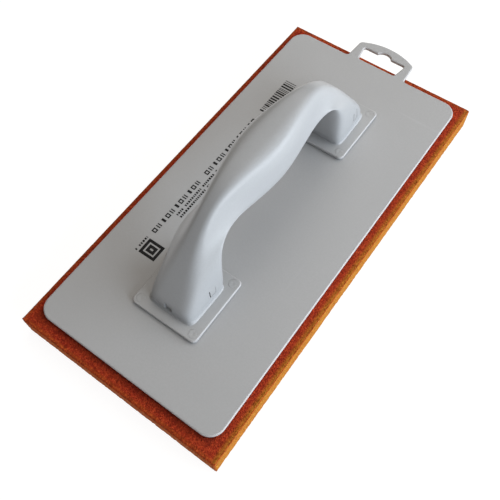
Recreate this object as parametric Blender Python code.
"""Sponge float: an orange cellular-rubber pad on a flat plastic plate, with a clip-fit bridge handle.

Frame: the origin is the centre of the pad's working face, +Z points up, out of the handle's
back, and +Y runs along the long side towards the hang tab. All lengths are in metres.

The pieces, from the bottom: sponge pad, adhesive film, backing plate with its hang tab, two
foot plates with hollow posts, eight rivets that hold the feet, and the hollow handle.
"""

import math

import bmesh
import bpy
import numpy as np
from mathutils import Matrix, Vector

# ---- fits -------------------------------------------------------------------------------
GAP = 0.0003  # clearance between touching pieces
OVERSHOOT = 0.001  # how far a cutting tool runs past the faces it opens

# ---- sponge pad -------------------------------------------------------------------------
PAD_WIDTH = 0.138
PAD_LENGTH = 0.280
PAD_THICK = 0.0168
PAD_CORNER = 0.0016
PAD_EDGE = 0.0008  # worn edge all round

# ---- adhesive film ----------------------------------------------------------------------
FILM_THICK = 0.0003
FILM_INSET = 0.0025  # back from the plate's edge

# ---- backing plate ----------------------------------------------------------------------
PLATE_WIDTH = 0.127
PLATE_LENGTH = 0.267
PLATE_THICK = 0.0025
PLATE_CORNER = 0.0095
PLATE_CHAMFER = 0.0004
PLATE_X = -0.0008  # the plate and all above it sit a little off the pad's centre
PLATE_Y = 0.0014

# ---- hang tab, one piece with the plate -------------------------------------------------
TAB_BASE_HALF = 0.0222
TAB_TOP_HALF = 0.0212
TAB_SHOULDER_REACH = 0.0158  # from the plate's edge to the tab's shoulders
TAB_CROWN_REACH = 0.0212  # from the plate's edge to the crown
TAB_CORNER = 0.0030
TAB_ROOT_FILLET = 0.0020
SLOT_NEAR_REACH = 0.0011
SLOT_FAR_REACH = 0.0128
SLOT_NEAR_HALF = 0.0141
SLOT_FAR_HALF = 0.0162
SLOT_CORNER = 0.0018
ARCH_HALF = 0.0052
ARCH_RISE = 0.0030
CROWN_STEPS = 8

# ---- feet -------------------------------------------------------------------------------
FOOT_SIZE = 0.0456
FOOT_THICK = 0.0025
FOOT_CORNER = 0.0030
FOOT_CHAMFER = 0.0004
FOOT_PITCH = 0.0752  # from the plate's centre to a foot's centre
POST_WALL = 0.0020
POST_HEIGHT = 0.0145
POST_CORNER = 0.0048
POST_PATH_STEPS = 30
POST_CLEARANCE = 0.0006  # to the inside of the leg, all round

# ---- rivets, one at each corner of a foot -----------------------------------------------
RIVET_PITCH = 0.0186  # from a foot's centre, in X and in Y
RIVET_SHANK_R = 0.0013
RIVET_HEAD_R = 0.0026
RIVET_HEAD_THICK = 0.0009
RIVET_PROUD = 0.00015
RIVET_DIMPLE_R = 0.0006
RIVET_DIMPLE_DEEP = 0.0004
RIVET_EDGE = 0.00025  # chamfer round the visible head
RIVET_SIDES = 12
RIVET_HOLE_R = RIVET_SHANK_R + GAP
COUNTERBORE_R = RIVET_HEAD_R + GAP
COUNTERBORE_DEEP = RIVET_HEAD_THICK + GAP

# ---- heights, from the pad's working face upwards ---------------------------------------
FILM_LOW = PAD_THICK + GAP
PLATE_LOW = FILM_LOW + FILM_THICK + GAP
PLATE_TOP = PLATE_LOW + PLATE_THICK
FOOT_LOW = PLATE_TOP + GAP
FOOT_TOP = FOOT_LOW + FOOT_THICK
HANDLE_LOW = FOOT_TOP + GAP

# ---- handle -----------------------------------------------------------------------------
# Half of the bridge, from a leg's mouth to the crest; the other half is its mirror image.
# Each station gives the back of the hand side (outer) and the finger side (inner) as
# (distance from the middle, height), the half width, how square the section is, and how
# much the section narrows towards the outer side.
HANDLE_WALL = 0.0026
HANDLE_STATIONS = [
    # outer (y, z)       inner (y, z)        half width  squareness  narrowing
    ((0.0908, HANDLE_LOW), (0.0606, HANDLE_LOW), 0.0156, 8.0, 0.03),
    ((0.0907, 0.0307), (0.0578, 0.0331), 0.0166, 5.5, 0.12),
    ((0.0809, 0.0459), (0.0543, 0.0594), 0.0158, 4.6, 0.34),
    ((0.0486, 0.0793), (0.0358, 0.0619), 0.0128, 4.2, 0.58),
    ((0.0000, 0.0864), (0.0000, 0.0540), 0.0149, 3.4, 0.10),
]
MOUTH_FLARE = 0.0009  # the outside of each leg spreads this far at its mouth
MOUTH_FLARE_TALL = 0.0020
MOUTH_STEPS = (0.25, 0.6)  # extra rings between the mouth and the next ring, to shape the flare
HANDLE_RINGS_PER_SPAN = 6
HANDLE_SIDES = 28

# ---- snap hooks and their windows -------------------------------------------------------
WINDOW_WIDE = 0.0050
SIDE_WINDOW_LOW = 0.0062  # above the handle's mouth
SIDE_WINDOW_TALL = 0.0070
SIDE_WINDOW_SHIFT = 0.0045  # along Y from the foot's centre; the -X side has it mirrored
END_WINDOW_LOW = 0.0022
END_WINDOW_TALL = 0.0056
HOOK_SIDE_REACH = 0.0142  # from the foot's centre to the hook's face
HOOK_END_REACH = 0.0136
WINDOW_REACH = 0.0220
SNAP_INNER_REACH = 0.0085

ARC_STEP = math.radians(18)


# ---- small helpers ----------------------------------------------------------------------


def clear_scene():
    for obj in list(bpy.data.objects):
        bpy.data.objects.remove(obj, do_unlink=True)


def make_material(name, colour, roughness, metallic=0.0):
    material = bpy.data.materials.new(name)
    material.use_nodes = True
    shader = material.node_tree.nodes["Principled BSDF"]
    shader.inputs["Base Color"].default_value = (*colour, 1.0)
    shader.inputs["Roughness"].default_value = roughness
    shader.inputs["Metallic"].default_value = metallic
    return material


def object_from_bmesh(bm, name, material=None):
    mesh = bpy.data.meshes.new(name)
    bmesh.ops.recalc_face_normals(bm, faces=bm.faces)
    bm.to_mesh(mesh)
    bm.free()
    obj = bpy.data.objects.new(name, mesh)
    bpy.context.collection.objects.link(obj)
    if material is not None:
        mesh.materials.append(material)
    return obj


def shade_round(obj, sharp_degrees=35.0):
    obj.data.shade_smooth()
    obj.data.set_sharp_from_angle(angle=math.radians(sharp_degrees))


def as_tool(obj):
    """A shape that only cuts or joins another one isn't a piece of the object."""
    obj.hide_render = True
    obj.display_type = "WIRE"
    return obj


def add_boolean(target, tool, operation):
    modifier = target.modifiers.new(operation.lower() + "_" + tool.name, "BOOLEAN")
    modifier.operation = operation
    modifier.solver = "EXACT"
    modifier.object = as_tool(tool)


def add_bevel(obj, width):
    modifier = obj.modifiers.new("edge", "BEVEL")
    modifier.width = width
    modifier.segments = 1
    modifier.limit_method = "ANGLE"
    modifier.angle_limit = math.radians(50)


def arc_points(centre, radius, start, end):
    """Points along an arc, both ends included; angles in radians."""
    steps = max(2, math.ceil(abs(end - start) / ARC_STEP))
    angles = [start + (end - start) * k / steps for k in range(steps + 1)]
    return [(centre[0] + radius * math.cos(a), centre[1] + radius * math.sin(a)) for a in angles]


def rounded_outline(corners):
    """Round each (x, y, radius) corner of a polygon with a tangent arc."""
    points = []
    count = len(corners)
    for k, (x, y, radius) in enumerate(corners):
        here = np.array((x, y))
        before = np.array(corners[k - 1][:2]) - here
        after = np.array(corners[(k + 1) % count][:2]) - here
        before /= np.linalg.norm(before)
        after /= np.linalg.norm(after)
        half = math.acos(float(np.clip(before @ after, -1.0, 1.0))) / 2
        if radius <= 0.0:
            points.append((x, y))
            continue
        bisector = (before + after) / np.linalg.norm(before + after)
        centre = here + bisector * radius / math.sin(half)
        start = here + before * radius / math.tan(half) - centre
        end = here + after * radius / math.tan(half) - centre
        start_angle = math.atan2(start[1], start[0])
        turn = math.atan2(end[1], end[0]) - start_angle
        turn = (turn + math.pi) % (2 * math.pi) - math.pi
        points += arc_points(centre, radius, start_angle, start_angle + turn)
    return points


def rectangle(half_x, half_y, radius, centre=(0.0, 0.0)):
    cx, cy = centre
    signs = [(-1, -1), (1, -1), (1, 1), (-1, 1)]
    return rounded_outline([(cx + sx * half_x, cy + sy * half_y, radius) for sx, sy in signs])


def prism(name, low_outline, low, high, material=None, high_outline=None):
    """A closed solid between two outlines with the same number of points."""
    high_outline = high_outline or low_outline
    bm = bmesh.new()
    bottom = [bm.verts.new((x, y, low)) for x, y in low_outline]
    top = [bm.verts.new((x, y, high)) for x, y in high_outline]
    count = len(bottom)
    for k in range(count):
        after = (k + 1) % count
        bm.faces.new((bottom[k], bottom[after], top[after], top[k]))
    bm.faces.new(bottom[::-1])
    bm.faces.new(top)
    return object_from_bmesh(bm, name, material)


def box_group(name, boxes):
    """Separate boxes in one tool, each given by its lowest and highest corner."""
    bm = bmesh.new()
    for low, high in boxes:
        low = Vector(low)
        high = Vector(high)
        place = Matrix.Translation((low + high) / 2) @ Matrix.Diagonal((*(high - low), 1.0))
        bmesh.ops.create_cube(bm, size=1.0, matrix=place)
    return object_from_bmesh(bm, name)


def turned(name, profile, sides, place, material=None):
    """A solid of revolution about Z; the profile runs from the top of the axis to its foot."""
    bm = bmesh.new()
    rings = []
    for radius, height in profile:
        if radius == 0.0:
            rings.append([bm.verts.new((place[0], place[1], height))])
            continue
        angles = [2 * math.pi * k / sides for k in range(sides)]
        rings.append(
            [
                bm.verts.new((place[0] + radius * math.cos(a), place[1] + radius * math.sin(a), height))
                for a in angles
            ]
        )
    for upper, lower in zip(rings, rings[1:]):
        for k in range(sides):
            after = (k + 1) % sides
            corners = [upper[k % len(upper)], lower[k % len(lower)]]
            corners += [lower[after % len(lower)], upper[after % len(upper)]]
            bm.faces.new(list(dict.fromkeys(corners)))
    return object_from_bmesh(bm, name, material)


def foot_centres():
    return {
        "front": (PLATE_X, PLATE_Y - FOOT_PITCH),
        "rear": (PLATE_X, PLATE_Y + FOOT_PITCH),
    }


def rivet_places():
    """Where the eight rivets stand, by name."""
    places = {}
    for end, (cx, cy) in foot_centres().items():
        number = 1
        for sy in (-1, 1):
            for sx in (-1, 1):
                places[f"{end}_rivet_{number}"] = (cx + sx * RIVET_PITCH, cy + sy * RIVET_PITCH)
                number += 1
    return places


# ---- pad, film and plate ----------------------------------------------------------------


def build_pad():
    material = make_material("cellular_rubber", (0.62, 0.14, 0.02), 0.95)
    outline = rectangle(PAD_WIDTH / 2, PAD_LENGTH / 2, PAD_CORNER)
    pad = prism("sponge_pad", outline, 0.0, PAD_THICK, material)
    add_bevel(pad, PAD_EDGE)


def build_film():
    material = make_material("contact_adhesive", (0.75, 0.66, 0.42), 0.45)
    half_x = PLATE_WIDTH / 2 - FILM_INSET
    half_y = PLATE_LENGTH / 2 - FILM_INSET
    outline = rectangle(half_x, half_y, PLATE_CORNER - FILM_INSET, (PLATE_X, PLATE_Y))
    prism("adhesive_film", outline, FILM_LOW, FILM_LOW + FILM_THICK, material)


def plate_outline():
    """The plate with its hang tab, anticlockwise from the near left corner."""
    left = PLATE_X - PLATE_WIDTH / 2
    right = PLATE_X + PLATE_WIDTH / 2
    near = PLATE_Y - PLATE_LENGTH / 2
    far = PLATE_Y + PLATE_LENGTH / 2
    crown = crown_arc(far)
    return rounded_outline(
        [
            (left, near, PLATE_CORNER),
            (right, near, PLATE_CORNER),
            (right, far, PLATE_CORNER),
            (PLATE_X + TAB_BASE_HALF, far, TAB_ROOT_FILLET),
            (PLATE_X + TAB_TOP_HALF, far + TAB_SHOULDER_REACH, TAB_CORNER),
            *[(x, y, 0.0) for x, y in crown],
            (PLATE_X - TAB_TOP_HALF, far + TAB_SHOULDER_REACH, TAB_CORNER),
            (PLATE_X - TAB_BASE_HALF, far, TAB_ROOT_FILLET),
            (left, far, PLATE_CORNER),
        ]
    )


def crown_arc(far):
    """The tab's bowed far edge, between its two rounded shoulders."""
    rise = TAB_CROWN_REACH - TAB_SHOULDER_REACH
    radius = (TAB_TOP_HALF**2 + rise**2) / (2 * rise)
    spread = math.asin((TAB_TOP_HALF - 2 * TAB_CORNER) / radius)
    centre = (PLATE_X, far + TAB_CROWN_REACH - radius)
    angles = [math.pi / 2 - spread + 2 * spread * k / CROWN_STEPS for k in range(CROWN_STEPS + 1)]
    return [(centre[0] + radius * math.cos(a), centre[1] + radius * math.sin(a)) for a in angles]


def slot_outline():
    """The hang slot: a flared slot with an arch in the middle of its far side."""
    far_edge = PLATE_Y + PLATE_LENGTH / 2
    near = far_edge + SLOT_NEAR_REACH
    far = far_edge + SLOT_FAR_REACH
    radius = (ARCH_HALF**2 + ARCH_RISE**2) / (2 * ARCH_RISE)
    spread = math.asin(ARCH_HALF / radius)
    centre = (PLATE_X, far + ARCH_RISE - radius)
    arch = arc_points(centre, radius, math.pi / 2 - spread, math.pi / 2 + spread)
    return rounded_outline(
        [
            (PLATE_X - SLOT_NEAR_HALF, near, SLOT_CORNER),
            (PLATE_X + SLOT_NEAR_HALF, near, SLOT_CORNER),
            (PLATE_X + SLOT_FAR_HALF, far, SLOT_CORNER),
            *[(x, y, 0.0) for x, y in arch],
            (PLATE_X - SLOT_FAR_HALF, far, SLOT_CORNER),
        ]
    )


def stepped_hole(name, place, wide_end, narrow_end):
    """A tool for a rivet's hole: a counterbore at one face and the shank's bore to the other."""
    overshoot = math.copysign(OVERSHOOT, wide_end - narrow_end)
    step = wide_end - math.copysign(COUNTERBORE_DEEP, overshoot)
    profile = [
        (0.0, wide_end + overshoot),
        (COUNTERBORE_R, wide_end + overshoot),
        (COUNTERBORE_R, step),
        (RIVET_HOLE_R, step),
        (RIVET_HOLE_R, narrow_end - overshoot),
        (0.0, narrow_end - overshoot),
    ]
    return turned(name, profile, RIVET_SIDES, place)


def build_plate():
    material = make_material("grey_plastic", (0.36, 0.36, 0.365), 0.45)
    plate = prism("backing_plate", plate_outline(), PLATE_LOW, PLATE_TOP, material)
    add_bevel(plate, PLATE_CHAMFER)
    slot = prism("slot_tool", slot_outline(), PLATE_LOW - OVERSHOOT, PLATE_TOP + OVERSHOOT)
    add_boolean(plate, slot, "DIFFERENCE")
    for name, place in rivet_places().items():
        hole = stepped_hole(f"{name}_plate_hole", place, PLATE_LOW, PLATE_TOP)
        add_boolean(plate, hole, "DIFFERENCE")


# ---- handle -----------------------------------------------------------------------------


def spline_matrix(count):
    """Second derivatives of a natural cubic spline through equally spaced values."""
    system = np.eye(count)
    rates = np.zeros((count, count))
    for k in range(1, count - 1):
        system[k, k - 1 : k + 2] = (1.0, 4.0, 1.0)
        rates[k, k - 1 : k + 2] = (6.0, -12.0, 6.0)
    return np.linalg.solve(system, rates)


def smooth_through(values, steps):
    """A natural cubic spline through the values, with the given steps between neighbours."""
    values = np.asarray(values, dtype=float)
    bends = spline_matrix(len(values)) @ values
    points = []
    for k in range(len(values) - 1):
        for step in range(steps):
            t = step / steps
            s = 1.0 - t
            point = s * values[k] + t * values[k + 1]
            point += ((s**3 - s) * bends[k] + (t**3 - t) * bends[k + 1]) / 6.0
            points.append(point)
    points.append(values[-1])
    return np.array(points)


def handle_path(steps):
    """Outer line, inner line, half width, squareness and narrowing from leg to leg."""
    half = HANDLE_STATIONS
    rows = []
    for side, stations in ((-1, half), (1, half[-2::-1])):
        for outer, inner, width, square, narrow in stations:
            rows.append((side * outer[0], outer[1], side * inner[0], inner[1], width, square, narrow))
    return smooth_through(rows, steps)


def mouth_flare(height):
    """How far the outside of a leg spreads at a height, to meet its foot in a soft curve."""
    return MOUTH_FLARE * max(0.0, 1.0 - (height - HANDLE_LOW) / MOUTH_FLARE_TALL) ** 2


def with_mouth_rings(path):
    """The path with extra rows next to both mouths."""
    front = [path[0] + (path[1] - path[0]) * step for step in MOUTH_STEPS]
    rear = [path[-1] + (path[-2] - path[-1]) * step for step in MOUTH_STEPS]
    return [path[0], *front, *path[1:-1], *rear[::-1], path[-1]]


def section_ring(row, sides, inset):
    """One cross-section: a superellipse that narrows towards its outer side."""
    outer = np.array(row[0:2])
    inner = np.array(row[2:4])
    width, square, narrow = row[4:7]
    reach = np.linalg.norm(outer - inner) / 2
    direction = (outer - inner) / (2 * reach)
    middle = (outer + inner) / 2
    ring = []
    for k in range(sides):
        angle = 2 * math.pi * k / sides
        across = math.copysign(abs(math.cos(angle)) ** (2 / square), math.cos(angle))
        along = math.copysign(abs(math.sin(angle)) ** (2 / square), math.sin(angle))
        taper = 1.0 - narrow * (0.5 + 0.5 * along)
        spread = -inset
        if inset == 0.0:
            spread = mouth_flare((middle + direction * along * reach)[1])
        x = across * (width * taper + spread)
        y, z = middle + direction * along * (reach + spread)
        ring.append((PLATE_X + x, PLATE_Y + y, z))
    return ring


def skin(bm, rows):
    """Faces between successive rows of vertices, each row a closed ring."""
    for row, next_row in zip(rows, rows[1:]):
        count = len(row)
        for k in range(count):
            after = (k + 1) % count
            bm.faces.new((row[k], row[after], next_row[after], next_row[k]))


def build_handle():
    material = make_material("pale_plastic", (0.60, 0.61, 0.63), 0.38)
    path = with_mouth_rings(handle_path(HANDLE_RINGS_PER_SPAN))
    bm = bmesh.new()
    rows = []
    for stations, inset in ((path, 0.0), (path[::-1], HANDLE_WALL)):
        for row in stations:
            rows.append([bm.verts.new(point) for point in section_ring(row, HANDLE_SIDES, inset)])
    # Out along the outside, round the rear leg's rim, back along the inside, round the front rim.
    skin(bm, rows + rows[:1])
    handle = object_from_bmesh(bm, "handle", material)
    shade_round(handle)
    windows = []
    for end in foot_centres():
        windows += snap_boxes(end, 0.0, WINDOW_REACH, WINDOW_REACH)
    add_boolean(handle, box_group("windows", windows), "DIFFERENCE")


def snap_boxes(end, shrink, side_reach, end_reach):
    """Boxes through a leg's two sides and its outer end: windows, or hooks if shrunk."""
    cx, cy = foot_centres()[end]
    half = WINDOW_WIDE / 2 - shrink
    low = HANDLE_LOW + SIDE_WINDOW_LOW + shrink
    high = HANDLE_LOW + SIDE_WINDOW_LOW + SIDE_WINDOW_TALL - shrink
    boxes = []
    for sign in (-1, 1):
        near_x, far_x = sorted((cx + sign * SNAP_INNER_REACH, cx + sign * side_reach))
        y = cy + sign * SIDE_WINDOW_SHIFT
        boxes.append(((near_x, y - half, low), (far_x, y + half, high)))
    outward = -1 if end == "front" else 1
    near_y, far_y = sorted((cy + outward * SNAP_INNER_REACH, cy + outward * end_reach))
    low = HANDLE_LOW + END_WINDOW_LOW + shrink
    high = HANDLE_LOW + END_WINDOW_LOW + END_WINDOW_TALL - shrink
    boxes.append(((cx - half, near_y, low), (cx + half, far_y, high)))
    return boxes


# ---- feet and rivets --------------------------------------------------------------------


def leg_inside(height, inset, sign):
    """The post's outline at a height: the leg's own outline there, drawn in by the inset."""
    leg = handle_path(POST_PATH_STEPS)[: 2 * POST_PATH_STEPS]
    outer_y = np.interp(height, leg[:, 1], -leg[:, 0]) - inset
    inner_y = np.interp(height, leg[:, 3], -leg[:, 2]) + inset
    half_x = np.interp(height, leg[:, 1], leg[:, 4] * (1.0 - leg[:, 6])) - inset
    centre = (PLATE_X, PLATE_Y + sign * (outer_y + inner_y) / 2)
    return rectangle(half_x, (outer_y - inner_y) / 2, POST_CORNER, centre)


def build_foot(end, material):
    cx, cy = foot_centres()[end]
    sign = -1 if end == "front" else 1
    plate_outline_points = rectangle(FOOT_SIZE / 2, FOOT_SIZE / 2, FOOT_CORNER, (cx, cy))
    foot = prism(f"{end}_foot", plate_outline_points, FOOT_LOW, FOOT_TOP, material)
    add_bevel(foot, FOOT_CHAMFER)
    top = FOOT_TOP + POST_HEIGHT
    outside = HANDLE_WALL + POST_CLEARANCE
    inside = outside + POST_WALL
    post = prism(
        f"{end}_post",
        leg_inside(HANDLE_LOW, outside, sign),
        FOOT_LOW + FOOT_THICK / 2,
        top,
        high_outline=leg_inside(top, outside, sign),
    )
    add_boolean(foot, post, "UNION")
    hooks = box_group(f"{end}_hooks", snap_boxes(end, GAP, HOOK_SIDE_REACH, HOOK_END_REACH))
    add_boolean(foot, hooks, "UNION")
    hollow = prism(
        f"{end}_hollow",
        leg_inside(HANDLE_LOW, inside, sign),
        FOOT_TOP,
        top + OVERSHOOT,
        high_outline=leg_inside(top, inside, sign),
    )
    add_boolean(foot, hollow, "DIFFERENCE")
    for name, place in rivet_places().items():
        if name.startswith(end):
            hole = stepped_hole(f"{name}_foot_hole", place, FOOT_TOP, FOOT_LOW)
            add_boolean(foot, hole, "DIFFERENCE")


def build_rivet(name, place, material):
    """A staked plastic rivet: a dimpled head in the foot, a plain head under the plate."""
    top = FOOT_TOP + RIVET_PROUD
    head_under = FOOT_TOP - COUNTERBORE_DEEP + GAP
    foot_head_top = PLATE_LOW + COUNTERBORE_DEEP - GAP
    bottom = foot_head_top - RIVET_HEAD_THICK + RIVET_PROUD
    profile = [
        (0.0, top - RIVET_DIMPLE_DEEP),
        (RIVET_DIMPLE_R, top),
        (RIVET_HEAD_R - RIVET_EDGE, top),
        (RIVET_HEAD_R, top - RIVET_EDGE),
        (RIVET_HEAD_R, head_under),
        (RIVET_SHANK_R, head_under),
        (RIVET_SHANK_R, foot_head_top),
        (RIVET_HEAD_R, foot_head_top),
        (RIVET_HEAD_R, bottom),
        (0.0, bottom),
    ]
    rivet = turned(name, profile, RIVET_SIDES, place, material)
    shade_round(rivet)


def main():
    clear_scene()
    build_pad()
    build_film()
    build_plate()
    foot_plastic = make_material("foot_plastic", (0.46, 0.47, 0.48), 0.40)
    for end in foot_centres():
        build_foot(end, foot_plastic)
    for name, place in rivet_places().items():
        build_rivet(name, place, foot_plastic)
    build_handle()


main()
